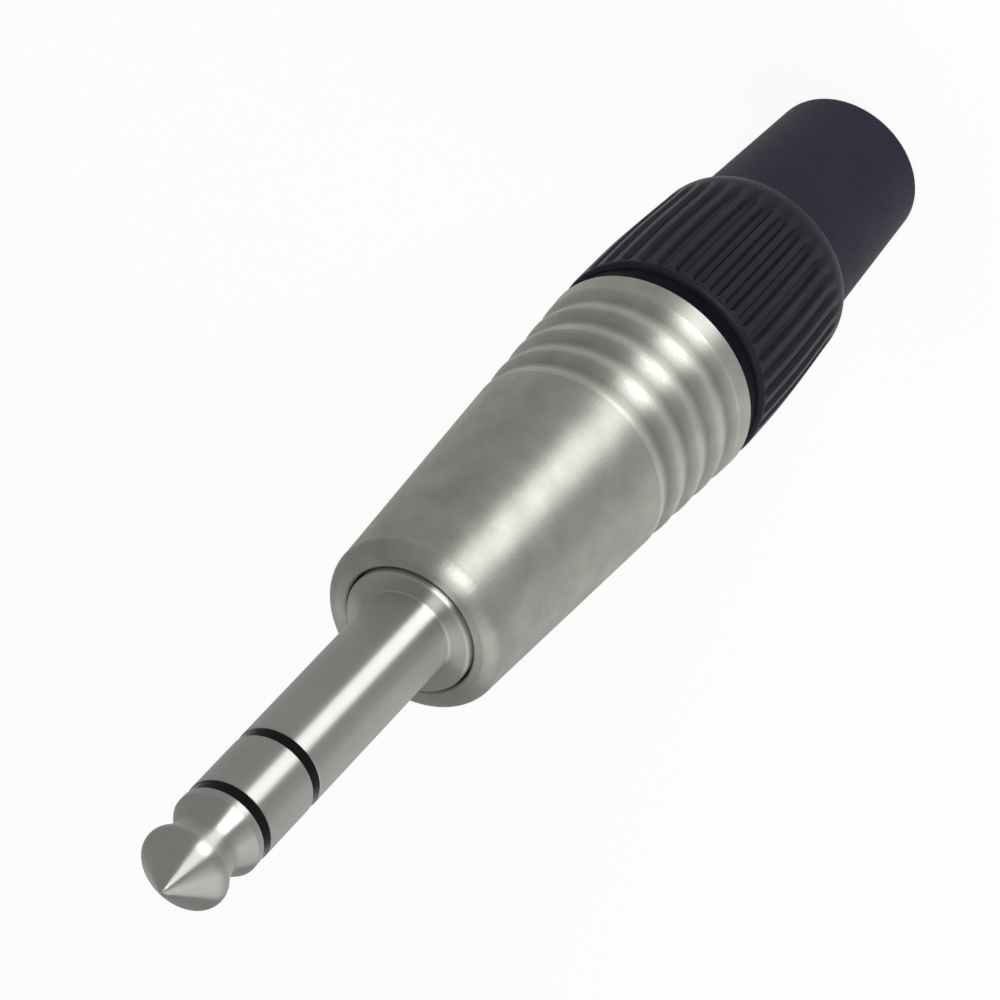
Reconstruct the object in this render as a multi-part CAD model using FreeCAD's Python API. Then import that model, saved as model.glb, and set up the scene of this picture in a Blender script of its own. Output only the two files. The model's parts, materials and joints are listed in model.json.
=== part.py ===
import FreeCAD, Part
import math
import os

os.makedirs("parts", exist_ok=True)

# A 6.35 mm stereo jack plug that stands on the flat end of its rubber boot, tip up.
# Sizes are in mm. Heights run up the plug's axis from the floor, and radii are from that axis.

# Clearances
PRESS_CLEARANCE = 0.02
SEAT_CLEARANCE = 0.05
SLIDE_CLEARANCE = 0.1
SEAM_CLEARANCE = 0.1

# Boot: a rubber tail, with a gland that snaps into the bushing
BOOT_TAIL_LENGTH = 13.85
BOOT_STEP = 0.47
BOOT_TAPER = 0.78
BOOT_FOOT_EDGE = 0.5
BOOT_TOP_EDGE = 0.25
GLAND_WALL = 1.4
GLAND_LENGTH = 5.2
GLAND_LIP_STEP = 0.6
GLAND_LIP_BASE = 1.9
GLAND_LIP_LENGTH = 1.6
GLAND_MOUTH_FLARE = 0.6
GLAND_MOUTH_LENGTH = 2.4

# Bushing: a ribbed grip, a plain neck and a hollow stem that screws into the shell
GRIP_LENGTH = 14.4
GRIP_OVERHANG = 0.02
GRIP_MIDDLE_FALL = 0.11
GRIP_MIDDLE_HEIGHT = 8.4
GRIP_REAR_FALL = 0.58
GRIP_REAR_HEIGHT = 1.5
GRIP_SHOULDER_FALL = 0.78
GRIP_SHOULDER_HEIGHT = 0.5
GRIP_RIM_FALL = 1.15
GRIP_RIM_WALL = 2.0
GRIP_FRONT_EDGE = 0.4
RIB_COUNT = 36
RIB_GROOVE_WIDTH = 0.62
RIB_GROOVE_DEPTH = 0.28
RIB_REAR_MARGIN = 2.2
RIB_FRONT_MARGIN = 0.5
NECK_FALL = 0.38
NECK_LENGTH = 1.4
STEM_LENGTH = 10.0
STEM_EDGE = 0.4
STEM_WALL = 0.85
CONE_TAPER = 1.3
CONE_THROAT_LENGTH = 2.4

# Thread in the shell, for the bushing's stem
THREAD_DEPTH = 12.0
THREAD_MOUTH_EDGE = 0.35
THREAD_RUNOUT = 1.0

# Shell: a tapered die casting with four shallow ring grooves near its rear end
SHELL_LENGTH = 32.5
SHELL_REAR_RADIUS = 8.18
SHELL_FRONT_RADIUS = 6.5
SHELL_REAR_EDGE = 0.2
SHELL_FACE_RADIUS = 5.6
SHELL_NOSE_LENGTH = 1.3
SHELL_NOSE_BULGE = 0.22
SHELL_WALL_REAR = 1.23
SHELL_WALL_FRONT = 1.8
SHELL_MOUTH_EDGE = 0.12
RING_GROOVE_COUNT = 4
RING_GROOVE_PITCH = 2.575
RING_GROOVE_LAND = 0.35
RING_GROOVE_DEPTH = 0.25
RING_GROOVE_BASE = 1.6
BORE_TAPER = 0.6
KEY_WIDTH = 1.2
KEY_DEPTH = 0.5
KEY_ROOT = 0.1

# Finger: the tip, ring and sleeve that enter the jack
FINGER_RADIUS = 3.175
FINGER_LENGTH = 30.5
TIP_LENGTH = 7.05
RING_LENGTH = 5.1
SPACER_LENGTH = 0.9
SPACER_RADIUS = 3.12
TIP_NOSE_RADIUS = 0.55
TIP_NOSE_LENGTH = 0.3
TIP_BALL_RADIUS = 3.1
TIP_BALL_HEIGHT = 2.8
TIP_BALL_ROUND = 0.75
TIP_BALL_FALL = 0.375
TIP_NECK_RADIUS = 2.35
TIP_NECK_HEIGHT = 4.85
TIP_NECK_ROUND = 0.55
TIP_NECK_RISE = 0.18
TIP_LAND_LENGTH = 0.6
ROD_RADIUS = 0.8
TUBE_WALL = 0.42
FLANGE_RADIUS = 4.65
FLANGE_LENGTH = 1.4
FLANGE_EDGE = 0.15
FLANGE_GAP = 0.2

# Insert: the moulded carrier that holds the finger's rear end in the shell
INSERT_LENGTH = 11.2
INSERT_FLOOR_LENGTH = 5.2
INSERT_POCKET_RADIUS = 4.4
SPIGOT_RADIUS = 3.6
SPIGOT_NECK_RADIUS = 2.8

# Stack of terminals and washers riveted behind the insert
TERMINAL_THICKNESS = 0.5
WASHER_THICKNESS = 1.0
WASHER_RADIUS = 2.9
GROUND_RADIUS = 3.4
GROUND_LUG_WIDTH = 3.4
GROUND_LUG_LENGTH = 10.0
GROUND_LUG_AZIMUTH = 180
RING_EYE_RADIUS = 2.6
RING_LUG_WIDTH = 2.4
RING_LUG_LENGTH = 8.2
RING_LUG_AZIMUTH = 0
TIP_EYE_RADIUS = 1.9
TIP_LUG_WIDTH = 2.2
TIP_LUG_LENGTH = 8.0
TIP_LUG_AZIMUTH = 90
LUG_GAP = 0.15
LUG_HOLE_RADIUS = 0.6
LUG_HOLE_MARGIN = 1.5
RIVET_RADIUS = 1.4
RIVET_LENGTH = 0.6

# Chuck: a slotted collet whose jaws the bushing's cone squeezes on the cable
JAW_LENGTH = 16.4
JAW_WALL = 0.75
JAW_SLOT_COUNT = 3
JAW_SLOT_WIDTH = 0.9
JAW_SLOT_LENGTH = 13.6
JAW_TIP_EDGE = 0.4
TOOTH_COUNT = 6
TOOTH_PITCH = 1.6
TOOTH_DEPTH = 0.4
CHUCK_RING_LENGTH = 3.4
CHUCK_RING_STEP = 0.2
CHUCK_FLOOR_THICKNESS = 1.0
PRONG_THICKNESS = 0.8
PRONG_HALF_ANGLE = 22.0
PRONG_ENGAGEMENT = 7.4
PRONG_AZIMUTHS = (90, 270)

# Heights that follow from the sizes above
GLAND_TOP = BOOT_TAIL_LENGTH + GLAND_LENGTH
GRIP_BASE = BOOT_TAIL_LENGTH
GRIP_TOP = GRIP_BASE + GRIP_LENGTH
NECK_TOP = GRIP_TOP + NECK_LENGTH
STEM_TOP = NECK_TOP + STEM_LENGTH
SHELL_BASE = NECK_TOP + SEAM_CLEARANCE
SHELL_TOP = SHELL_BASE + SHELL_LENGTH
INSERT_TOP = SHELL_TOP - SHELL_WALL_FRONT
INSERT_BASE = INSERT_TOP - INSERT_LENGTH
INSERT_FLOOR = INSERT_TOP - INSERT_FLOOR_LENGTH
PLUG_TOP = SHELL_TOP + FINGER_LENGTH
TIP_BASE = PLUG_TOP - TIP_LENGTH
RING_TOP = TIP_BASE - SPACER_LENGTH
RING_BASE = RING_TOP - RING_LENGTH
SLEEVE_TOP = RING_BASE - SPACER_LENGTH
GROUND_BASE = INSERT_FLOOR - TERMINAL_THICKNESS
RING_WASHER_BASE = GROUND_BASE - WASHER_THICKNESS
RING_TERMINAL_BASE = RING_WASHER_BASE - TERMINAL_THICKNESS
TIP_WASHER_BASE = RING_TERMINAL_BASE - WASHER_THICKNESS
TIP_TERMINAL_BASE = TIP_WASHER_BASE - TERMINAL_THICKNESS
CONE_BASE = GLAND_TOP + SEAT_CLEARANCE + CONE_THROAT_LENGTH
CHUCK_RING_BASE = STEM_TOP - SLIDE_CLEARANCE
CHUCK_RING_TOP = CHUCK_RING_BASE + CHUCK_RING_LENGTH
JAW_BASE = CHUCK_RING_BASE - JAW_LENGTH

# Radii that follow from the shell's rear end: its thread, the bushing that meets it there, and what the bushing holds
THREAD_BORE_RADIUS = SHELL_REAR_RADIUS - SHELL_WALL_REAR
THREAD_RADIUS = THREAD_BORE_RADIUS - SLIDE_CLEARANCE
CONE_LARGE_RADIUS = THREAD_RADIUS - STEM_WALL
CONE_SMALL_RADIUS = CONE_LARGE_RADIUS - CONE_TAPER
JAW_BORE_RADIUS = CONE_SMALL_RADIUS - JAW_WALL
NECK_RADIUS = SHELL_REAR_RADIUS - NECK_FALL
GRIP_FRONT_RADIUS = SHELL_REAR_RADIUS + GRIP_OVERHANG
GRIP_MIDDLE_RADIUS = GRIP_FRONT_RADIUS - GRIP_MIDDLE_FALL
GRIP_REAR_RADIUS = GRIP_FRONT_RADIUS - GRIP_REAR_FALL
GRIP_SHOULDER_RADIUS = GRIP_FRONT_RADIUS - GRIP_SHOULDER_FALL
GRIP_RIM_RADIUS = GRIP_FRONT_RADIUS - GRIP_RIM_FALL
BOOT_TOP_RADIUS = GRIP_RIM_RADIUS - BOOT_STEP
BOOT_FOOT_RADIUS = BOOT_TOP_RADIUS - BOOT_TAPER
GLAND_RADIUS = GRIP_RIM_RADIUS - GRIP_RIM_WALL - SEAT_CLEARANCE
GLAND_LIP_RADIUS = GLAND_RADIUS + GLAND_LIP_STEP
CABLE_HOLE_RADIUS = GLAND_RADIUS - GLAND_WALL
GLAND_MOUTH_RADIUS = CABLE_HOLE_RADIUS + GLAND_MOUTH_FLARE

# Radii of the tubes nested around the rod, from the inside out
TIP_TUBE_BORE = ROD_RADIUS + PRESS_CLEARANCE
TIP_TUBE_RADIUS = TIP_TUBE_BORE + TUBE_WALL
RING_TUBE_BORE = TIP_TUBE_RADIUS + PRESS_CLEARANCE
RING_TUBE_RADIUS = RING_TUBE_BORE + TUBE_WALL
SLEEVE_TUBE_BORE = RING_TUBE_RADIUS + PRESS_CLEARANCE
SLEEVE_TUBE_RADIUS = SLEEVE_TUBE_BORE + TUBE_WALL
SLEEVE_BORE = SLEEVE_TUBE_RADIUS + PRESS_CLEARANCE

# Chuck prongs lie between the insert's pocket and its outer wall
PRONG_INNER_RADIUS = INSERT_POCKET_RADIUS + SLIDE_CLEARANCE
PRONG_OUTER_RADIUS = PRONG_INNER_RADIUS + PRONG_THICKNESS
INSERT_RADIUS = PRONG_OUTER_RADIUS + 2 * SLIDE_CLEARANCE
BORE_FRONT_RADIUS = INSERT_RADIUS + SLIDE_CLEARANCE
BORE_REAR_RADIUS = BORE_FRONT_RADIUS + BORE_TAPER
CHUCK_RING_RADIUS = PRONG_OUTER_RADIUS + CHUCK_RING_STEP

FULL_TURN = 360.0
CUT_MARGIN = 1.0


def at(radius, height):
    return FreeCAD.Vector(radius, 0, height)


def line(start, end):
    return Part.makeLine(at(*start), at(*end))


def arc(start, middle, end):
    return Part.Arc(at(*start), at(*middle), at(*end)).toShape()


def hollow(start, middle, end):
    """A shallow smooth curve through three points, which meshes more lightly than an arc."""
    spline = Part.BSplineCurve()
    spline.interpolate([at(*start), at(*middle), at(*end)])
    return spline.toShape()


def spin(edges, angle=FULL_TURN):
    face = Part.Face(Part.Wire(edges))
    return face.revolve(FreeCAD.Vector(0, 0, 0), FreeCAD.Vector(0, 0, 1), angle)


def turned(points, angle=FULL_TURN):
    """A solid turned from a closed outline of (radius, height) corners."""
    corners = [at(*point) for point in points]
    return spin([Part.makePolygon(corners + corners[:1])], angle)


def tube(inner, outer, base, top):
    return turned([(inner, base), (outer, base), (outer, top), (inner, top)])


def disc(radius, base, top):
    return Part.makeCylinder(radius, top - base, at(0, base))


def sector(inner, outer, base, top, half_angle, azimuth):
    """A piece of a tube, centred on the given azimuth."""
    outline = [(inner, base), (outer, base), (outer, top), (inner, top)]
    piece = turned(outline, 2 * half_angle)
    piece.rotate(FreeCAD.Vector(0, 0, 0), FreeCAD.Vector(0, 0, 1), azimuth - half_angle)
    return piece


def turned_to(shape, azimuth):
    copy = shape.copy()
    copy.rotate(FreeCAD.Vector(0, 0, 0), FreeCAD.Vector(0, 0, 1), azimuth)
    return copy


def slab(near, far, width, base, top):
    """A box along X, centred across Y."""
    return Part.makeBox(far - near, width, top - base, FreeCAD.Vector(near, -width / 2, base))


def boot():
    gland_base = BOOT_TAIL_LENGTH
    lip_base = gland_base + GLAND_LIP_BASE
    lip_top = lip_base + GLAND_LIP_LENGTH
    mouth_base = GLAND_TOP - GLAND_MOUTH_LENGTH
    foot_inner = BOOT_FOOT_RADIUS - BOOT_FOOT_EDGE
    foot_middle = (foot_inner + BOOT_FOOT_EDGE * math.sqrt(0.5), BOOT_FOOT_EDGE * (1 - math.sqrt(0.5)))
    top_inner = BOOT_TOP_RADIUS - BOOT_TOP_EDGE
    tail_top = BOOT_TAIL_LENGTH - BOOT_TOP_EDGE
    edges = [
        line((CABLE_HOLE_RADIUS, 0), (foot_inner, 0)),
        arc((foot_inner, 0), foot_middle, (BOOT_FOOT_RADIUS, BOOT_FOOT_EDGE)),
        line((BOOT_FOOT_RADIUS, BOOT_FOOT_EDGE), (BOOT_TOP_RADIUS, tail_top)),
        line((BOOT_TOP_RADIUS, tail_top), (top_inner, BOOT_TAIL_LENGTH)),
        line((top_inner, BOOT_TAIL_LENGTH), (GLAND_RADIUS, gland_base)),
        line((GLAND_RADIUS, gland_base), (GLAND_RADIUS, lip_base)),
        line((GLAND_RADIUS, lip_base), (GLAND_LIP_RADIUS, lip_base)),
        line((GLAND_LIP_RADIUS, lip_base), (GLAND_RADIUS, lip_top)),
        line((GLAND_RADIUS, lip_top), (GLAND_RADIUS, GLAND_TOP)),
        line((GLAND_RADIUS, GLAND_TOP), (GLAND_MOUTH_RADIUS, GLAND_TOP)),
        line((GLAND_MOUTH_RADIUS, GLAND_TOP), (CABLE_HOLE_RADIUS, mouth_base)),
        line((CABLE_HOLE_RADIUS, mouth_base), (CABLE_HOLE_RADIUS, 0)),
    ]
    return spin(edges)


def grip_side(depth):
    """The corners of the grip's side from its rear rim up, set in by the given depth."""
    return [
        (GRIP_RIM_RADIUS - depth, GRIP_BASE),
        (GRIP_SHOULDER_RADIUS - depth, GRIP_BASE + GRIP_SHOULDER_HEIGHT),
        (GRIP_REAR_RADIUS - depth, GRIP_BASE + GRIP_REAR_HEIGHT),
        (GRIP_MIDDLE_RADIUS - depth, GRIP_BASE + GRIP_MIDDLE_HEIGHT),
        (GRIP_FRONT_RADIUS - depth, GRIP_TOP - GRIP_FRONT_EDGE),
    ]


def cone_radius(height):
    share = (height - CONE_BASE) / (STEM_TOP - CONE_BASE)
    return CONE_SMALL_RADIUS + share * (CONE_LARGE_RADIUS - CONE_SMALL_RADIUS)


def rib_groove():
    """The cut between two ribs, equally deep along the grip's side, which ends short of the plain rim."""
    reach = GRIP_FRONT_RADIUS + CUT_MARGIN
    outside = turned(grip_side(RIB_GROOVE_DEPTH) + [(reach, GRIP_TOP - GRIP_FRONT_EDGE), (reach, GRIP_BASE)])
    window = slab(GRIP_RIM_RADIUS - CUT_MARGIN, reach + CUT_MARGIN, RIB_GROOVE_WIDTH,
                  GRIP_BASE + RIB_REAR_MARGIN, GRIP_TOP - GRIP_FRONT_EDGE - RIB_FRONT_MARGIN)
    return outside.common(window)


def bushing():
    hole = GLAND_RADIUS + SEAT_CLEARANCE
    lip_hole = GLAND_LIP_RADIUS + SEAT_CLEARANCE
    lip_base = GRIP_BASE + GLAND_LIP_BASE - SEAT_CLEARANCE
    lip_top = lip_base + GLAND_LIP_LENGTH + 2 * SEAT_CLEARANCE
    seat = GLAND_TOP + SEAT_CLEARANCE
    outline = [(hole, GRIP_BASE)] + grip_side(0) + [
        (GRIP_FRONT_RADIUS - GRIP_FRONT_EDGE, GRIP_TOP), (NECK_RADIUS, GRIP_TOP), (NECK_RADIUS, NECK_TOP),
        (THREAD_RADIUS, NECK_TOP), (THREAD_RADIUS, STEM_TOP - STEM_EDGE), (THREAD_RADIUS - STEM_EDGE, STEM_TOP),
        (CONE_LARGE_RADIUS, STEM_TOP), (CONE_SMALL_RADIUS, CONE_BASE), (CONE_SMALL_RADIUS, seat), (hole, seat),
        (hole, lip_top), (lip_hole, lip_base), (hole, lip_base),
    ]
    groove = rib_groove()
    grooves = [turned_to(groove, FULL_TURN * index / RIB_COUNT) for index in range(RIB_COUNT)]
    return turned(outline).cut(grooves)


def shell_side(height):
    """Radius of the shell's plain taper at a height."""
    taper_top = SHELL_TOP - SHELL_NOSE_LENGTH
    share = (height - SHELL_BASE) / (taper_top - SHELL_BASE)
    return SHELL_REAR_RADIUS + share * (SHELL_FRONT_RADIUS - SHELL_REAR_RADIUS)


def ring_grooves():
    """The shell's side past its shallow grooves: a hollow for each, and a plain land up to the next."""
    edges = []
    for index in range(RING_GROOVE_COUNT):
        base = SHELL_BASE + RING_GROOVE_BASE + index * RING_GROOVE_PITCH
        top = base + RING_GROOVE_PITCH - RING_GROOVE_LAND
        middle = (base + top) / 2
        after = base + RING_GROOVE_PITCH
        edges.append(hollow((shell_side(base), base), (shell_side(middle) - RING_GROOVE_DEPTH, middle),
                            (shell_side(top), top)))
        if index < RING_GROOVE_COUNT - 1:
            edges.append(line((shell_side(top), top), (shell_side(after), after)))
    return edges


def shell():
    thread_bore = THREAD_BORE_RADIUS
    mouth = FLANGE_RADIUS + FLANGE_GAP
    grooves_base = SHELL_BASE + RING_GROOVE_BASE
    grooves_top = grooves_base + RING_GROOVE_COUNT * RING_GROOVE_PITCH - RING_GROOVE_LAND
    taper_top = SHELL_TOP - SHELL_NOSE_LENGTH
    thread_top = SHELL_BASE + THREAD_DEPTH
    bore_base = thread_top + THREAD_RUNOUT
    rear_side = SHELL_BASE + SHELL_REAR_EDGE
    nose_middle = ((SHELL_FRONT_RADIUS + SHELL_FACE_RADIUS) / 2 + SHELL_NOSE_BULGE,
                   SHELL_TOP - SHELL_NOSE_LENGTH / 2 + SHELL_NOSE_BULGE)
    edges = [
        line((thread_bore + THREAD_MOUTH_EDGE, SHELL_BASE), (SHELL_REAR_RADIUS - SHELL_REAR_EDGE, SHELL_BASE)),
        line((SHELL_REAR_RADIUS - SHELL_REAR_EDGE, SHELL_BASE), (shell_side(rear_side), rear_side)),
        line((shell_side(rear_side), rear_side), (shell_side(grooves_base), grooves_base)),
    ]
    edges += ring_grooves()
    edges += [
        line((shell_side(grooves_top), grooves_top), (SHELL_FRONT_RADIUS, taper_top)),
        arc((SHELL_FRONT_RADIUS, taper_top), nose_middle, (SHELL_FACE_RADIUS, SHELL_TOP)),
        line((SHELL_FACE_RADIUS, SHELL_TOP), (mouth + SHELL_MOUTH_EDGE, SHELL_TOP)),
        line((mouth + SHELL_MOUTH_EDGE, SHELL_TOP), (mouth, SHELL_TOP - SHELL_MOUTH_EDGE)),
        line((mouth, SHELL_TOP - SHELL_MOUTH_EDGE), (mouth, INSERT_TOP)),
        line((mouth, INSERT_TOP), (BORE_FRONT_RADIUS, INSERT_TOP)),
        line((BORE_FRONT_RADIUS, INSERT_TOP), (BORE_REAR_RADIUS, bore_base)),
        line((BORE_REAR_RADIUS, bore_base), (thread_bore, thread_top)),
        line((thread_bore, thread_top), (thread_bore, SHELL_BASE + THREAD_MOUTH_EDGE)),
        line((thread_bore, SHELL_BASE + THREAD_MOUTH_EDGE), (thread_bore + THREAD_MOUTH_EDGE, SHELL_BASE)),
    ]
    key = slab(INSERT_RADIUS - KEY_DEPTH, BORE_REAR_RADIUS + KEY_ROOT, KEY_WIDTH, INSERT_BASE, INSERT_TOP)
    return spin(edges).fuse(key).removeSplitter()


def insert_body():
    spigot_hole = SPIGOT_RADIUS + PRESS_CLEARANCE
    body = turned([
        (spigot_hole, INSERT_FLOOR), (spigot_hole, INSERT_TOP), (INSERT_RADIUS, INSERT_TOP),
        (INSERT_RADIUS, INSERT_BASE), (INSERT_POCKET_RADIUS, INSERT_BASE), (INSERT_POCKET_RADIUS, INSERT_FLOOR),
    ])
    notch_top = INSERT_BASE + PRONG_ENGAGEMENT + SLIDE_CLEARANCE
    extra_angle = math.degrees(SLIDE_CLEARANCE / PRONG_INNER_RADIUS)
    cuts = [slab(INSERT_RADIUS - KEY_DEPTH - SLIDE_CLEARANCE, INSERT_RADIUS + CUT_MARGIN,
                 KEY_WIDTH + 2 * SLIDE_CLEARANCE, INSERT_BASE - CUT_MARGIN, INSERT_TOP + CUT_MARGIN)]
    for azimuth in PRONG_AZIMUTHS:
        cuts.append(sector(INSERT_POCKET_RADIUS - PRESS_CLEARANCE, INSERT_RADIUS + CUT_MARGIN,
                           INSERT_BASE - CUT_MARGIN, notch_top, PRONG_HALF_ANGLE + extra_angle, azimuth))
    return body.cut(cuts)


def sleeve_contact():
    flange_top = INSERT_TOP + FLANGE_LENGTH
    return turned([
        (SLEEVE_BORE, GROUND_BASE), (SPIGOT_NECK_RADIUS, GROUND_BASE), (SPIGOT_NECK_RADIUS, INSERT_FLOOR),
        (SPIGOT_RADIUS, INSERT_FLOOR), (SPIGOT_RADIUS, INSERT_TOP), (FLANGE_RADIUS, INSERT_TOP),
        (FLANGE_RADIUS, flange_top - FLANGE_EDGE), (FLANGE_RADIUS - FLANGE_EDGE, flange_top),
        (FINGER_RADIUS, flange_top), (FINGER_RADIUS, SLEEVE_TOP), (SLEEVE_BORE, SLEEVE_TOP),
    ])


def ring_contact():
    return turned([
        (RING_TUBE_BORE, RING_TERMINAL_BASE), (RING_TUBE_RADIUS, RING_TERMINAL_BASE), (RING_TUBE_RADIUS, RING_BASE),
        (FINGER_RADIUS, RING_BASE), (FINGER_RADIUS, RING_TOP), (RING_TUBE_BORE, RING_TOP),
    ])


def spacer(bore, radius, base, head_base, head_top):
    """An insulating sleeve with a thick head that shows as a black ring on the finger."""
    return turned([
        (bore, base), (radius, base), (radius, head_base),
        (SPACER_RADIUS, head_base), (SPACER_RADIUS, head_top), (bore, head_top),
    ])


def tip_insulator():
    return spacer(TIP_TUBE_BORE, TIP_TUBE_RADIUS, TIP_WASHER_BASE, RING_TOP, TIP_BASE)


def ring_insulator():
    return spacer(SLEEVE_TUBE_BORE, SLEEVE_TUBE_RADIUS, RING_WASHER_BASE, SLEEVE_TOP, RING_BASE)


def crown(radius, base, top):
    """A dome from its rim at one height to its crown on the axis at another."""
    rise = top - base
    sphere = (radius * radius + rise * rise) / (2 * rise)
    lean = math.asin(radius / abs(sphere)) / 2
    middle = (abs(sphere) * math.sin(lean), top - sphere * (1 - math.cos(lean)))
    return arc((radius, base), middle, (0, top))


def tip_contact():
    ball = PLUG_TOP - TIP_BALL_HEIGHT
    neck = PLUG_TOP - TIP_NECK_HEIGHT
    nose_base = PLUG_TOP - TIP_NOSE_LENGTH
    flare_end = TIP_BASE + TIP_LAND_LENGTH
    shoulder = TIP_BALL_RADIUS - TIP_BALL_FALL
    waist = TIP_NECK_RADIUS + TIP_NECK_RISE
    rivet_base = TIP_TERMINAL_BASE - RIVET_LENGTH
    return spin([
        crown(TIP_NOSE_RADIUS, nose_base, PLUG_TOP),
        line((TIP_NOSE_RADIUS, nose_base), (shoulder, ball + TIP_BALL_ROUND)),
        arc((shoulder, ball + TIP_BALL_ROUND), (TIP_BALL_RADIUS, ball), (shoulder, ball - TIP_BALL_ROUND)),
        line((shoulder, ball - TIP_BALL_ROUND), (waist, neck + TIP_NECK_ROUND)),
        arc((waist, neck + TIP_NECK_ROUND), (TIP_NECK_RADIUS, neck), (waist, neck - TIP_NECK_ROUND)),
        line((waist, neck - TIP_NECK_ROUND), (FINGER_RADIUS, flare_end)),
        line((FINGER_RADIUS, flare_end), (FINGER_RADIUS, TIP_BASE)),
        line((FINGER_RADIUS, TIP_BASE), (ROD_RADIUS, TIP_BASE)),
        line((ROD_RADIUS, TIP_BASE), (ROD_RADIUS, TIP_TERMINAL_BASE)),
        line((ROD_RADIUS, TIP_TERMINAL_BASE), (RIVET_RADIUS, TIP_TERMINAL_BASE)),
        crown(RIVET_RADIUS, TIP_TERMINAL_BASE, rivet_base),
        line((0, rivet_base), (0, PLUG_TOP)),
    ])


def washer(hole, base):
    return tube(hole + PRESS_CLEARANCE, WASHER_RADIUS, base, base + WASHER_THICKNESS)


def terminal(hole, eye_radius, base, lug_face, lug_width, lug_length, azimuth):
    """A flat eye on the rod, and a solder lug bent back from it towards the cable."""
    top = base + TERMINAL_THICKNESS
    lug_base = top - lug_length
    far = lug_face + TERMINAL_THICKNESS
    eye = disc(eye_radius, base, top)
    arm = slab(0, far, lug_width, base, top)
    lug = slab(lug_face, far, lug_width, lug_base, top)
    lug_hole = Part.makeCylinder(LUG_HOLE_RADIUS, far + CUT_MARGIN,
                                 FreeCAD.Vector(0, 0, lug_base + LUG_HOLE_MARGIN), FreeCAD.Vector(1, 0, 0))
    rod_hole = disc(hole + PRESS_CLEARANCE, base - CUT_MARGIN, top + CUT_MARGIN)
    piece = eye.fuse([arm, lug]).cut([lug_hole, rod_hole]).removeSplitter()
    return turned_to(piece, azimuth)


def ground_terminal():
    return terminal(SPIGOT_NECK_RADIUS, GROUND_RADIUS + TERMINAL_THICKNESS, GROUND_BASE,
                    GROUND_RADIUS, GROUND_LUG_WIDTH, GROUND_LUG_LENGTH, GROUND_LUG_AZIMUTH)


def ring_terminal():
    return terminal(RING_TUBE_RADIUS, RING_EYE_RADIUS, RING_TERMINAL_BASE,
                    WASHER_RADIUS + LUG_GAP, RING_LUG_WIDTH, RING_LUG_LENGTH, RING_LUG_AZIMUTH)


def tip_terminal():
    return terminal(ROD_RADIUS, TIP_EYE_RADIUS, TIP_TERMINAL_BASE,
                    RIVET_RADIUS + LUG_GAP, TIP_LUG_WIDTH, TIP_LUG_LENGTH, TIP_LUG_AZIMUTH)


def jaw_bore_points(base):
    """The toothed bore of the jaws, from its rear end up: each tooth is a sharp ring that leans forward."""
    points = []
    for index in range(TOOTH_COUNT):
        root = base + index * TOOTH_PITCH
        points.append((JAW_BORE_RADIUS - TOOTH_DEPTH, root))
        points.append((JAW_BORE_RADIUS, root + TOOTH_PITCH))
    return points


def chuck():
    gap = SLIDE_CLEARANCE
    jaw_foot = cone_radius(JAW_BASE) - gap
    jaw_side = cone_radius(JAW_BASE + JAW_TIP_EDGE) - gap
    ring_side = cone_radius(CHUCK_RING_BASE) - gap
    floor_top = CHUCK_RING_BASE + CHUCK_FLOOR_THICKNESS
    outline = jaw_bore_points(JAW_BASE)
    outline += [
        (JAW_BORE_RADIUS, floor_top), (PRONG_INNER_RADIUS, floor_top), (PRONG_INNER_RADIUS, CHUCK_RING_TOP),
        (CHUCK_RING_RADIUS, CHUCK_RING_TOP), (CHUCK_RING_RADIUS, CHUCK_RING_BASE),
        (ring_side, CHUCK_RING_BASE), (jaw_side, JAW_BASE + JAW_TIP_EDGE),
        (jaw_foot - JAW_TIP_EDGE / 2, JAW_BASE),
    ]
    body = turned(outline)
    slots = []
    for index in range(JAW_SLOT_COUNT):
        cut = slab(-THREAD_RADIUS, THREAD_RADIUS, JAW_SLOT_WIDTH, JAW_BASE - CUT_MARGIN, JAW_BASE + JAW_SLOT_LENGTH)
        slots.append(turned_to(cut, index * FULL_TURN / 2 / JAW_SLOT_COUNT))
    prongs = []
    for azimuth in PRONG_AZIMUTHS:
        prongs.append(sector(PRONG_INNER_RADIUS, PRONG_OUTER_RADIUS, CHUCK_RING_BASE,
                             INSERT_BASE + PRONG_ENGAGEMENT, PRONG_HALF_ANGLE, azimuth))
    return body.cut(slots).fuse(prongs).removeSplitter()


PIECES = {
    "boot": boot,
    "bushing": bushing,
    "chuck": chuck,
    "shell": shell,
    "insert_body": insert_body,
    "sleeve_contact": sleeve_contact,
    "ring_contact": ring_contact,
    "tip_contact": tip_contact,
    "ring_insulator": ring_insulator,
    "tip_insulator": tip_insulator,
    "ground_terminal": ground_terminal,
    "ring_terminal": ring_terminal,
    "tip_terminal": tip_terminal,
    "ring_washer": lambda: washer(SLEEVE_TUBE_RADIUS, RING_WASHER_BASE),
    "tip_washer": lambda: washer(TIP_TUBE_RADIUS, TIP_WASHER_BASE),
}

for name, build in PIECES.items():
    build().exportStep(os.path.join("parts", name + ".step"))
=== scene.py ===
import json
import math

import bmesh
import bpy
from mathutils import Matrix, Vector


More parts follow.
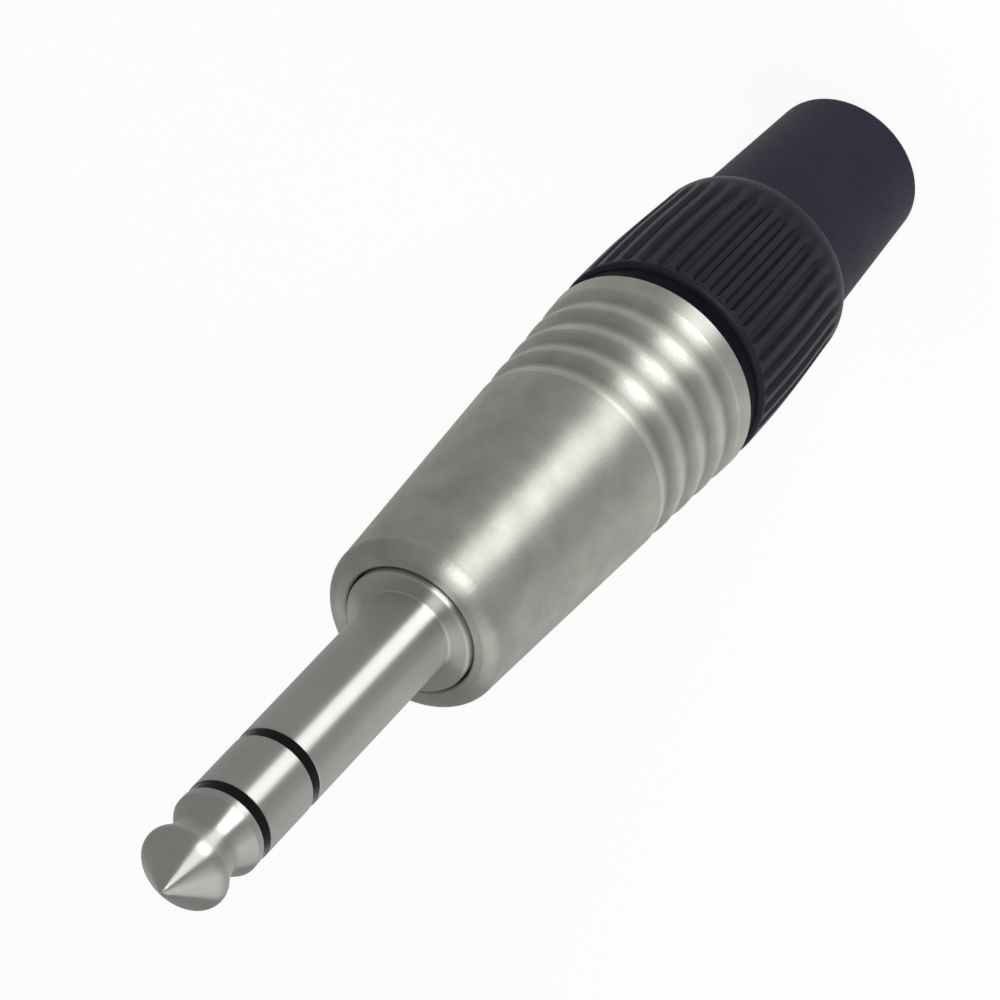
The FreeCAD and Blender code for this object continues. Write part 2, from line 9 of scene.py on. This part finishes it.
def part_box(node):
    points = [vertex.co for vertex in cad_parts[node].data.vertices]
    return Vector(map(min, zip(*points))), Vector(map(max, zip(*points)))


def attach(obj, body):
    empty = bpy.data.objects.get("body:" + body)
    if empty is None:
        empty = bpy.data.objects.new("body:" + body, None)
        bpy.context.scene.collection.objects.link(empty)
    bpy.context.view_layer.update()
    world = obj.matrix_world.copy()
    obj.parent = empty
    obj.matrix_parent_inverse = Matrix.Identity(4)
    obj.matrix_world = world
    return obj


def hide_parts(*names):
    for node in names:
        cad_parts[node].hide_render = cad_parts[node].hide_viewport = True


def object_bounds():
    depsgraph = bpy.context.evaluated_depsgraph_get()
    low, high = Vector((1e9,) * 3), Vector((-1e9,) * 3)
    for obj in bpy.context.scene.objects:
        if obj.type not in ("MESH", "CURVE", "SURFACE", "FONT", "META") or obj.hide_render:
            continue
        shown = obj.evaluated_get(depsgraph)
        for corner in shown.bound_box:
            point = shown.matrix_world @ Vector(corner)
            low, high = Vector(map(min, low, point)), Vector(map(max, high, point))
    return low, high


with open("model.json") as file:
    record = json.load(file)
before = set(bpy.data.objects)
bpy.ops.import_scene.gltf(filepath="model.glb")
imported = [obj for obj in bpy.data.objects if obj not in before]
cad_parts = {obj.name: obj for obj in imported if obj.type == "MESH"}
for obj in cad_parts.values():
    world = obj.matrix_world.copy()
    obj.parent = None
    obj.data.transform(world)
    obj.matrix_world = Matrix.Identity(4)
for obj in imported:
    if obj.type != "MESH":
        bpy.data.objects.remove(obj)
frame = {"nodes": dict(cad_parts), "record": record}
cad_low, cad_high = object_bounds()
scene = bpy.context.scene

MM = 0.001

# Camera, from the photo's view: how the plug's axis leans in the picture and away from the lens
VIEW_DISTANCE = 412.4 * MM
VIEW_TILT = math.radians(44.04)
VIEW_LEAN = math.radians(-46.5)
TIP_ACROSS = -21.05 * MM
TIP_DOWN = 24.42 * MM
FOCAL_PIXELS = 6631.0
PICTURE_PIXELS = 1000.0
SENSOR_MM = 36.0
CLIP_START = 10 * MM

# Floor and backdrop, in metres: the paper's colour is a painted pool of light, white round the plug and pale
# grey further out.
# The glow is the share of the paper's colour that is seen without any light on it.
FLOOR_REACH = 2.0
FLOOR_GLOW = 0.9
FLOOR_ROUGHNESS = 0.9
FLOOR_SHEEN = 0.1
PAINTED_POOL_WHITE = 1.0
PAINTED_POOL_EDGE_GREY = 0.415
PAINTED_POOL_SQUEEZE = (1.45, 1, 1)
PAINTED_POOL_CENTER = (-0.005, 0.065, 0)
PAINTED_POOL_REACH = 0.085
PAINTED_POOL_EDGE_REACH = 0.14
BACKDROP_GREY = 0.4

# Soft boxes, in metres and watts: a strip in front and a large box at the side
LIGHT_AIM = (0, 0, 0.05)
STRIP_PLACE = (-0.015, -0.62, 0.23)
STRIP_WIDTH = 0.35
STRIP_HEIGHT = 0.42
STRIP_POWER = 3.5
KEY_PLACE = (-0.5, 0.05, 0.45)
KEY_WIDTH = 0.8
KEY_HEIGHT = 0.8
KEY_POWER = 1.8

# Colours
SHELL_COLOR = (0.6, 0.606, 0.545)
NICKEL_COLOR = (0.52, 0.52, 0.495)
TIN_COLOR = (0.5, 0.49, 0.46)
BUSHING_COLOR = (0.0125, 0.0125, 0.0195)
BOOT_COLOR = (0.014, 0.0147, 0.0265)
BLACK_COLOR = (0.004, 0.004, 0.005)
INSERT_COLOR = (0.03, 0.03, 0.032)
CHUCK_COLOR = (0.55, 0.55, 0.52)

# Finish: the values that most of a noise lies between, its detail, and marks that run round the axis
NOISE_LOW = 0.3
NOISE_HIGH = 0.7
BLOTCH_DETAIL = 4.0
GRAIN_DETAIL = 2.0
PLAIN_LEVEL = 0.5
BLACK_LEVEL = 0.1
AROUND = (0.04, 0.04, 1)
QUARTER_TURN = 0.25

# Painted shade in the neck between bushing and shell, from one height to another
NECK_SPAN = (28.3 * MM, 29.7 * MM)
NECK_PAINTED_SHADE = 0.3

# Painted shade and wear on the shell: how light the colour is on plain sides and on worn lands, and the
# painted shade that darkens the ring grooves
GROOVES_BASE = 31.35 * MM
GROOVE_PITCH = 2.575 * MM
GROOVE_COUNT = 4
PLAIN_TONE = 0.8
WORN_TONE = 1.0
GROOVE_SHADE_TONE = 0.55
SHADE_AND_WEAR_STOPS = [(0.0, WORN_TONE), (0.12, PLAIN_TONE), (0.45, GROOVE_SHADE_TONE), (0.75, PLAIN_TONE), (0.9, WORN_TONE)]

# Bushing, in millimetres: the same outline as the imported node, with rounded ribs and the thread added
GRIP_LENGTH = 14.4
GRIP_REAR_RADIUS = 7.63
GRIP_MIDDLE_RADIUS = 8.08
GRIP_MIDDLE_HEIGHT = 8.4
GRIP_FRONT_RADIUS = 8.19
GRIP_EDGE = 0.4
SHOULDER_WIDTH = 1.1
SHOULDER_HEIGHT = 1.9
NECK_RADIUS = 7.8
NECK_LENGTH = 1.4
STEM_RADIUS = 6.85
STEM_EDGE = 0.4
CONE_SMALL_RADIUS = 4.7
CONE_LARGE_RADIUS = 6.0
CONE_BASE_HEIGHT = 7.65
GLAND_HOLE_RADIUS = 5.05
GLAND_HOLE_LENGTH = 5.25
LIP_HOLE_RADIUS = 5.65
LIP_HOLE_BASE = 1.85
LIP_HOLE_TOP = 3.55
RIB_COUNT = 36
RIB_DEPTH = 0.45
RIB_CREST_SHARE = 0.25
RIB_FLOOR_SHARE = 0.85
RIB_REAR_MARGIN = 1.7
RIB_REAR_FADE = 2.2
RIB_FRONT_FADE = 0.5
THREAD_PITCH = 1.0
THREAD_DEPTH = 0.45
THREAD_SLOPE = 2.6
THREAD_CREST = 0.3
THREAD_FADE = 0.8

# Sleeve of the finger, in millimetres
FINGER_RADIUS = 3.175
SLEEVE_BORE = 2.14
SLEEVE_FOOT_ROUND = 0.18
SLEEVE_TOP_EDGE = 0.04
SPIGOT_RADIUS = 3.6
SPIGOT_NECK_RADIUS = 2.8
SPIGOT_LENGTH = 5.2
FLANGE_RADIUS = 4.65
FLANGE_EDGE = 0.2
FLANGE_RISE = 0.3
FLANGE_SEAT_DEPTH = 1.8

# Steps of the meshes, and the angle in degrees above which an edge stays sharp
STEPS_PER_RIB = 12
SLEEVE_STEPS = 144
SHOULDER_STEPS = 12
GRIP_STEPS = 16
EDGE_STEPS = 5
ROWS_PER_THREAD = 10
SHARP_ANGLE = 32


def mix(low, high, share):
    return low + (high - low) * share


def smooth_share(value, low, high):
    share = min(max((value - low) / (high - low), 0.0), 1.0)
    return share * share * (3 - 2 * share)


# Materials

class Nodes:
    """A material's node tree, with short calls for the nodes used here."""

    def __init__(self, name):
        self.material = bpy.data.materials.new(name)
        self.material.use_nodes = True
        self.tree = self.material.node_tree
        self.shader = self.tree.nodes["Principled BSDF"]

    def add(self, kind, **inputs):
        node = self.tree.nodes.new(kind)
        for name, value in inputs.items():
            node.inputs[name.replace("_", " ")].default_value = value
        return node

    def add_sum(self, kind, operation):
        """A maths node for single values or for vectors."""
        node = self.tree.nodes.new(kind)
        node.operation = operation
        return node

    def link(self, source, target):
        self.tree.links.new(source, target)

    def set(self, name, value):
        self.shader.inputs[name].default_value = value

    def place(self, stretch=(1, 1, 1)):
        """Object coordinates, scaled per axis."""
        coordinates = self.add("ShaderNodeTexCoord")
        mapping = self.add("ShaderNodeMapping", Scale=stretch)
        self.link(coordinates.outputs["Object"], mapping.inputs["Vector"])
        return mapping.outputs["Vector"]

    def noise(self, grain, detail, stretch=(1, 1, 1)):
        """Noise whose features are about one grain wide, in metres."""
        node = self.add("ShaderNodeTexNoise", Scale=1.0 / grain, Detail=detail)
        self.link(self.place(stretch), node.inputs["Vector"])
        return node.outputs["Fac"]

    def ramp(self, factor, stops):
        """The factor turned into a colour by stops, each a position and a colour."""
        node = self.tree.nodes.new("ShaderNodeValToRGB")
        elements = node.color_ramp.elements
        while len(elements) < len(stops):
            elements.new(0.5)
        for element, (position, color) in zip(elements, stops):
            element.position = position
            element.color = (*color, 1)
        self.link(factor, node.inputs["Fac"])
        return node.outputs["Color"]

    def span(self, factor, low, high):
        """The middle range of a noise spread from low to high."""
        node = self.add("ShaderNodeMapRange", From_Min=NOISE_LOW, From_Max=NOISE_HIGH,
                        To_Min=low, To_Max=high)
        self.link(factor, node.inputs["Value"])
        return node.outputs["Result"]

    def calculate(self, operation, value, *numbers):
        """A single value worked on with one or two fixed numbers."""
        node = self.add_sum("ShaderNodeMath", operation)
        self.link(value, node.inputs[0])
        for index, number in enumerate(numbers):
            node.inputs[index + 1].default_value = number
        return node.outputs["Value"]

    def scaled(self, color, factor):
        """The colour times the factor."""
        node = self.add_sum("ShaderNodeVectorMath", "SCALE")
        self.link(color, node.inputs[0])
        self.link(factor, node.inputs["Scale"])
        return node.outputs["Vector"]

    def height(self):
        split = self.add("ShaderNodeSeparateXYZ")
        self.link(self.place(), split.inputs["Vector"])
        return split.outputs["Z"]

    def painted_neck_shade(self, low, high):
        """1 above and below a gap between two heights in metres, and the neck's painted shade inside it."""
        inside = self.calculate("COMPARE", self.height(), (low + high) / 2, (high - low) / 2)
        share = self.add("ShaderNodeMapRange", To_Min=1.0, To_Max=NECK_PAINTED_SHADE)
        self.link(inside, share.inputs["Value"])
        return share.outputs["Result"]

    def ring_shade_and_wear(self):
        """How light the shell's colour is up its side: darker in the ring grooves as painted shade, bright on
        the worn lands.
        """
        above = self.calculate("SUBTRACT", self.height(), GROOVES_BASE)
        turns = self.calculate("DIVIDE", above, GROOVE_PITCH)
        stops = [(position, (tone, tone, tone)) for position, tone in SHADE_AND_WEAR_STOPS]
        wear = self.ramp(self.calculate("FRACT", turns), stops)
        near = self.calculate("COMPARE", turns, GROOVE_COUNT / 2, GROOVE_COUNT / 2)
        blend = self.add("ShaderNodeMapRange", To_Min=PLAIN_TONE)
        self.link(near, blend.inputs["Value"])
        self.link(wear, blend.inputs["To Max"])
        return blend.outputs["Result"]

    def bump(self, height, depth):
        node = self.add("ShaderNodeBump", Strength=1.0, Distance=depth)
        self.link(height, node.inputs["Height"])
        self.link(node.outputs["Normal"], self.shader.inputs["Normal"])

    def turn_gloss(self, amount):
        """The fine marks of turning run round the axis, so gloss spreads along it."""
        tangent = self.tree.nodes.new("ShaderNodeTangent")
        tangent.direction_type = "RADIAL"
        tangent.axis = "Z"
        self.link(tangent.outputs["Tangent"], self.shader.inputs["Tangent"])
        self.set("Anisotropic", amount)
        self.set("Anisotropic Rotation", QUARTER_TURN)


def shade(color, factor):
    return tuple(channel * factor for channel in color)


def surface(name, color, spread, blotch, rough, grain, depth, metallic=0.0, stretch=(1, 1, 1),
            level=PLAIN_LEVEL, turned=0.0, gap=None, shaded_and_worn=False):
    """A moulded, cast or turned surface: soft colour blotches, uneven gloss and a fine grain; where asked,
    painted shade in a neck gap, and painted shade in ring grooves with worn lands.
    """
    nodes = Nodes(name)
    nodes.set("Metallic", metallic)
    nodes.set("Specular IOR Level", level)
    if turned:
        nodes.turn_gloss(turned)
    stops = [(NOISE_LOW, shade(color, 1 - spread)), (NOISE_HIGH, shade(color, 1 + spread))]
    tone = nodes.ramp(nodes.noise(blotch, BLOTCH_DETAIL), stops)
    if gap:
        # Painted shade: colour and gloss are darkened in the narrow neck gap, where little light comes back
        # out
        share = nodes.painted_neck_shade(*gap)
        tone = nodes.scaled(tone, share)
        nodes.link(nodes.calculate("MULTIPLY", share, level), nodes.shader.inputs["Specular IOR Level"])
    # Painted shade darkens the ring grooves, and the lands between them are lighter with wear
    if shaded_and_worn:
        tone = nodes.scaled(tone, nodes.ring_shade_and_wear())
    nodes.link(tone, nodes.shader.inputs["Base Color"])
    grains = nodes.noise(grain, GRAIN_DETAIL, stretch)
    nodes.link(nodes.span(grains, *rough), nodes.shader.inputs["Roughness"])
    nodes.bump(grains, depth)
    return nodes.material


MATERIALS = {
    # The shell's colour gets painted shade in its ring grooves and wear on its lands
    "shell_metal": surface(
        "satin_nickel", SHELL_COLOR, spread=0.1, blotch=2.2 * MM, rough=(0.46, 0.54), grain=0.16 * MM,
        depth=0.006 * MM, metallic=1.0, turned=0.9, shaded_and_worn=True),
    "contact_metal": surface(
        "polished_nickel", NICKEL_COLOR, spread=0.03, blotch=3.0 * MM, rough=(0.38, 0.41), grain=0.08 * MM,
        depth=0.0002 * MM, metallic=1.0, stretch=AROUND, turned=1.0),
    "terminal_metal": surface(
        "tinned_brass", TIN_COLOR, spread=0.08, blotch=1.2 * MM, rough=(0.22, 0.38), grain=0.12 * MM,
        depth=0.003 * MM, metallic=1.0),
    # The bushing gets painted shade in the neck gap between it and the shell
    "bushing_plastic": surface(
        "satin_black_plastic", BUSHING_COLOR, spread=0.15, blotch=1.6 * MM, rough=(0.34, 0.5),
        grain=0.12 * MM, depth=0.008 * MM, level=BLACK_LEVEL, gap=NECK_SPAN),
    "boot_rubber": surface(
        "dark_rubber", BOOT_COLOR, spread=0.12, blotch=2.4 * MM, rough=(0.48, 0.66), grain=0.15 * MM,
        depth=0.01 * MM, level=BLACK_LEVEL),
    "insulator_plastic": surface(
        "gloss_black_plastic", BLACK_COLOR, spread=0.1, blotch=1.0 * MM, rough=(0.2, 0.32), grain=0.1 * MM,
        depth=0.002 * MM, level=BLACK_LEVEL),
    "insert_plastic": surface(
        "filled_black_plastic", INSERT_COLOR, spread=0.15, blotch=1.0 * MM, rough=(0.4, 0.6), grain=0.1 * MM,
        depth=0.006 * MM),
    "chuck_plastic": surface(
        "natural_plastic", CHUCK_COLOR, spread=0.04, blotch=1.5 * MM, rough=(0.3, 0.42), grain=0.12 * MM,
        depth=0.004 * MM),
}


def dress(item, slot):
    item.data.materials.clear()
    item.data.materials.append(MATERIALS[slot])


for part in frame["record"]["subparts"]:
    dress(frame["nodes"][part["node"]], part["material_slot"])


# Outlines and rings, in millimetres

def curve_through(points, steps):
    """Points along a smooth curve through a few (radius, height) points, with a cubic between each two."""
    padded = [points[0]] + points + [points[-1]]
    result = []
    for index in range(len(points) - 1):
        before, start, end, after = padded[index:index + 4]
        for step in range(steps):
            t = step / steps
            result.append(tuple(
                0.5 * (2 * b + (c - a) * t + (2 * a - 5 * b + 4 * c - d) * t * t
                       + (3 * b - a - 3 * c + d) * t ** 3)
                for a, b, c, d in zip(before, start, end, after)))
    result.append(points[-1])
    return result


def quarter(center, width, height, start, steps=EDGE_STEPS):
    """A quarter of an oval round a (radius, height) centre, turning left from a start angle in degrees."""
    points = []
    for step in range(steps + 1):
        angle = math.radians(start + 90 * step / steps)
        points.append((center[0] + width * math.cos(angle), center[1] + height * math.sin(angle)))
    return points


def spaced_angles(count):
    return [2 * math.pi * index / count for index in range(count)]


def ring(radii, height, angles):
    """Points round the axis at one height, with a radius for each angle."""
    return [(radius * math.cos(angle), radius * math.sin(angle), height)
            for radius, angle in zip(radii, angles)]


def round_rings(outline, angles):
    """A plain round ring for each (radius, height) point of an outline."""
    return [ring([radius] * len(angles), height, angles) for radius, height in outline]


def lathe(name, rings):
    """A mesh from rings of points that share their count, with the last ring joined to the first."""
    mesh = bpy.data.meshes.new(name)
    shape = bmesh.new()
    rows = [[shape.verts.new(Vector(point) * MM) for point in points] for points in rings]
    count = len(rows[0])
    for lower, upper in zip(rows, rows[1:] + rows[:1]):
        for index in range(count):
            after = (index + 1) % count
            shape.faces.new((lower[index], lower[after], upper[after], upper[index]))
    bmesh.ops.recalc_face_normals(shape, faces=shape.faces)
    shape.to_mesh(mesh)
    shape.free()
    item = bpy.data.objects.new(name, mesh)
    scene.collection.objects.link(item)
    return item


def soften(item):
    """Smooth shading, with the sharp edges kept."""
    for face in item.data.polygons:
        face.use_smooth = True
    item.data.set_sharp_from_angle(angle=math.radians(SHARP_ANGLE))


# Bushing

def bushing_side(base):
    """The bushing's outer side from its rear face to the neck's top, with the heights of grip and neck."""
    grip_top = base + GRIP_LENGTH
    neck_top = grip_top + NECK_LENGTH
    center = (GRIP_REAR_RADIUS - SHOULDER_WIDTH, base + SHOULDER_HEIGHT)
    side = quarter(center, SHOULDER_WIDTH, SHOULDER_HEIGHT, -90, SHOULDER_STEPS)[:-1]
    side += curve_through([
        (GRIP_REAR_RADIUS, base + SHOULDER_HEIGHT),
        (GRIP_MIDDLE_RADIUS, base + GRIP_MIDDLE_HEIGHT),
        (GRIP_FRONT_RADIUS, grip_top - GRIP_EDGE),
    ], GRIP_STEPS)[:-1]
    side += quarter((GRIP_FRONT_RADIUS - GRIP_EDGE, grip_top - GRIP_EDGE), GRIP_EDGE, GRIP_EDGE, 0)
    side += [(NECK_RADIUS, grip_top), (NECK_RADIUS, neck_top), (STEM_RADIUS, neck_top)]
    return side, grip_top, neck_top


def bushing_inside(base, top):
    """The bushing's bore from the stem's end back to its rear face."""
    hole_top = base + GLAND_HOLE_LENGTH
    return [
        (STEM_RADIUS - STEM_EDGE, top),
        (CONE_LARGE_RADIUS, top),
        (CONE_SMALL_RADIUS, base + CONE_BASE_HEIGHT),
        (CONE_SMALL_RADIUS, hole_top),
        (GLAND_HOLE_RADIUS, hole_top),
        (GLAND_HOLE_RADIUS, base + LIP_HOLE_TOP),
        (LIP_HOLE_RADIUS, base + LIP_HOLE_BASE),
        (GLAND_HOLE_RADIUS, base + LIP_HOLE_BASE),
        (GLAND_HOLE_RADIUS, base),
    ]


def rib_cut(height, angle, base, grip_top):
    """How far the surface lies below the ribs' crests. The grooves fade out above the plain rear shoulder."""
    wave = smooth_share(0.5 - 0.5 * math.cos(RIB_COUNT * angle), RIB_CREST_SHARE, RIB_FLOOR_SHARE)
    rise = smooth_share(height, base + RIB_REAR_MARGIN, base + RIB_REAR_MARGIN + RIB_REAR_FADE)
    fall = 1 - smooth_share(height, grip_top - GRIP_EDGE - RIB_FRONT_FADE, grip_top - GRIP_EDGE)
    return RIB_DEPTH * wave * rise * fall


def thread_cut(height, angle, neck_top, stem_top):
    """How far the surface lies below the thread's crest, for a right-hand thread."""
    phase = ((height - neck_top) / THREAD_PITCH - angle / (2 * math.pi)) % 1.0
    flank = min(max(abs(phase - 0.5) * THREAD_SLOPE - THREAD_CREST, 0.0), 1.0)
    rise = smooth_share(height, neck_top, neck_top + THREAD_FADE)
    fall = 1 - smooth_share(height, stem_top - THREAD_FADE, stem_top)
    return THREAD_DEPTH * flank * rise * fall


def grip_rings(side, base, grip_top, angles):
    """The outer side's rings, with the ribs cut in below the grip's front edge."""
    rings = []
    for radius, height in side:
        radii = [radius] * len(angles)
        if height <= grip_top - GRIP_EDGE:
            radii = [radius - rib_cut(height, angle, base, grip_top) for angle in angles]
        rings.append(ring(radii, height, angles))
    return rings


def stem_rings(neck_top, stem_top, angles):
    rows = int((stem_top - neck_top) / THREAD_PITCH * ROWS_PER_THREAD)
    rings = []
    for row in range(1, rows + 1):
        height = mix(neck_top, stem_top, row / rows)
        radii = [STEM_RADIUS - thread_cut(height, angle, neck_top, stem_top) for angle in angles]
        rings.append(ring(radii, height, angles))
    return rings


def make_bushing():
    low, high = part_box("bushing")
    base, top = low.z / MM, high.z / MM
    side, grip_top, neck_top = bushing_side(base)
    angles = spaced_angles(RIB_COUNT * STEPS_PER_RIB)
    rings = grip_rings(side, base, grip_top, angles)
    rings += stem_rings(neck_top, top - STEM_EDGE, angles)
    rings += round_rings(bushing_inside(base, top), angles)
    item = lathe("ribbed_bushing", rings)
    soften(item)
    dress(item, "bushing_plastic")
    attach(item, "rear")
    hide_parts("bushing")


# Sleeve of the finger

def sleeve_outline(base, top, face):
    """The sleeve's outline from one end of its bore to the other. face is the height of the shell's face."""
    seat = face - FLANGE_SEAT_DEPTH
    floor = seat - SPIGOT_LENGTH
    rim = face + FLANGE_RISE
    foot = rim + SLEEVE_FOOT_ROUND
    outline = [
        (SLEEVE_BORE, base),
        (SPIGOT_NECK_RADIUS, base),
        (SPIGOT_NECK_RADIUS, floor),
        (SPIGOT_RADIUS, floor),
        (SPIGOT_RADIUS, seat),
        (FLANGE_RADIUS, seat),
    ]
    outline += quarter((FLANGE_RADIUS - FLANGE_EDGE, rim - FLANGE_EDGE), FLANGE_EDGE, FLANGE_EDGE, 0)
    center = (FINGER_RADIUS + SLEEVE_FOOT_ROUND, foot)
    outline += reversed(quarter(center, SLEEVE_FOOT_ROUND, SLEEVE_FOOT_ROUND, 180))
    outline += [
        (FINGER_RADIUS, top - SLEEVE_TOP_EDGE),
        (FINGER_RADIUS - SLEEVE_TOP_EDGE, top),
        (SLEEVE_BORE, top),
    ]
    return outline


def make_sleeve():
    """The finger's sleeve, whose flange stands a little proud of the shell's face in its mouth."""
    low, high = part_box("sleeve_contact")
    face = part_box("shell")[1].z / MM
    outline = sleeve_outline(low.z / MM, high.z / MM, face)
    item = lathe("finger_sleeve", round_rings(outline, spaced_angles(SLEEVE_STEPS)))
    soften(item)
    dress(item, "contact_metal")
    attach(item, "front")
    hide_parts("sleeve_contact")


make_bushing()
make_sleeve()


# Floor, light and camera

def seen_share(nodes):
    """1 for rays from the camera and for those that metal or glass sends on, and 0 for the rest."""
    light_path = nodes.tree.nodes.new("ShaderNodeLightPath")
    total = light_path.outputs["Is Camera Ray"]
    for name in ("Is Glossy Ray", "Is Transmission Ray"):
        add = nodes.add_sum("ShaderNodeMath", "ADD")
        add.use_clamp = True
        nodes.link(total, add.inputs[0])
        nodes.link(light_path.outputs[name], add.inputs[1])
        total = add.outputs["Value"]
    return total


def painted_light_pool(nodes):
    """A painted pool of light: white in an oval round the plug, and grey further out."""
    away = nodes.add_sum("ShaderNodeVectorMath", "DISTANCE")
    nodes.link(nodes.place(PAINTED_POOL_SQUEEZE), away.inputs[0])
    away.inputs[1].default_value = PAINTED_POOL_CENTER
    tone = nodes.add("ShaderNodeMapRange", From_Min=PAINTED_POOL_REACH, From_Max=PAINTED_POOL_EDGE_REACH,
                     To_Min=PAINTED_POOL_WHITE, To_Max=PAINTED_POOL_EDGE_GREY)
    tone.interpolation_type = "SMOOTHSTEP"
    nodes.link(away.outputs["Value"], tone.inputs["Value"])
    return tone.outputs["Result"]


def paper_material():
    """Paper that mostly shows its colour, a painted pool of light, and still darkens where the plug's shadow
    falls.
    """
    nodes = Nodes("paper_with_painted_light_pool")
    # The paper's colour and glow carry the painted pool of light round the plug
    tone = painted_light_pool(nodes)
    nodes.link(tone, nodes.shader.inputs["Base Color"])
    nodes.set("Roughness", FLOOR_ROUGHNESS)
    nodes.set("Specular IOR Level", FLOOR_SHEEN)
    glow = nodes.add("ShaderNodeEmission", Strength=1.0)
    nodes.link(tone, glow.inputs["Color"])
    blend = nodes.add("ShaderNodeMixShader")
    nodes.link(nodes.calculate("MULTIPLY", seen_share(nodes), FLOOR_GLOW), blend.inputs["Fac"])
    nodes.link(nodes.shader.outputs["BSDF"], blend.inputs[1])
    nodes.link(glow.outputs["Emission"], blend.inputs[2])
    nodes.link(blend.outputs["Shader"], nodes.tree.nodes["Material Output"].inputs["Surface"])
    return nodes.material


def studio_floor():
    mesh = bpy.data.meshes.new("studio_floor")
    corners = [(-1, -1), (1, -1), (1, 1), (-1, 1)]
    mesh.from_pydata([(x * FLOOR_REACH, y * FLOOR_REACH, 0) for x, y in corners], [], [(0, 1, 2, 3)])
    floor = bpy.data.objects.new("studio_floor", mesh)
    scene.collection.objects.link(floor)
    floor.data.materials.append(paper_material())


def studio_world():
    """A plain pale backdrop that gives an even soft light."""
    world = bpy.data.worlds.new("studio")
    world.use_nodes = True
    backdrop = world.node_tree.nodes["Background"]
    backdrop.inputs["Color"].default_value = (BACKDROP_GREY, BACKDROP_GREY, BACKDROP_GREY, 1)
    scene.world = world


def soft_light(name, place, width, height, power):
    """A soft box that faces the plug."""
    data = bpy.data.lights.new(name, "AREA")
    data.shape = "RECTANGLE"
    data.size = width
    data.size_y = height
    data.energy = power
    lamp = bpy.data.objects.new(name, data)
    lamp.location = place
    aim = Vector(LIGHT_AIM) - Vector(place)
    lamp.rotation_euler = aim.to_track_quat("-Z", "Y").to_euler()
    lamp.visible_camera = False
    scene.collection.objects.link(lamp)


def camera():
    """The camera stands so that the plug's axis has the photo's lean, tilt, place and scale."""
    axis = Vector((math.cos(VIEW_LEAN) * math.cos(VIEW_TILT), math.sin(VIEW_LEAN) * math.cos(VIEW_TILT),
                   math.sin(VIEW_TILT)))
    level = Vector((-math.sin(VIEW_LEAN), math.cos(VIEW_LEAN), 0))
    across = axis.cross(level)
    right, down, forward = (Vector((-level[i], across[i], -axis[i])) for i in range(3))
    data = bpy.data.cameras.new("camera")
    data.sensor_width = SENSOR_MM
    data.lens = FOCAL_PIXELS / PICTURE_PIXELS * SENSOR_MM
    data.clip_start = CLIP_START
    item = bpy.data.objects.new("camera", data)
    tip = Vector((0, 0, cad_high.z))
    item.location = tip - TIP_ACROSS * right - TIP_DOWN * down - VIEW_DISTANCE * forward
    turn = Matrix((right, -down, -forward)).transposed()
    item.rotation_euler = turn.to_euler()
    scene.collection.objects.link(item)
    scene.camera = item


studio_floor()
studio_world()
soft_light("strip", STRIP_PLACE, STRIP_WIDTH, STRIP_HEIGHT, STRIP_POWER)
soft_light("key", KEY_PLACE, KEY_WIDTH, KEY_HEIGHT, KEY_POWER)
camera()
scene.view_settings.view_transform = "Standard"
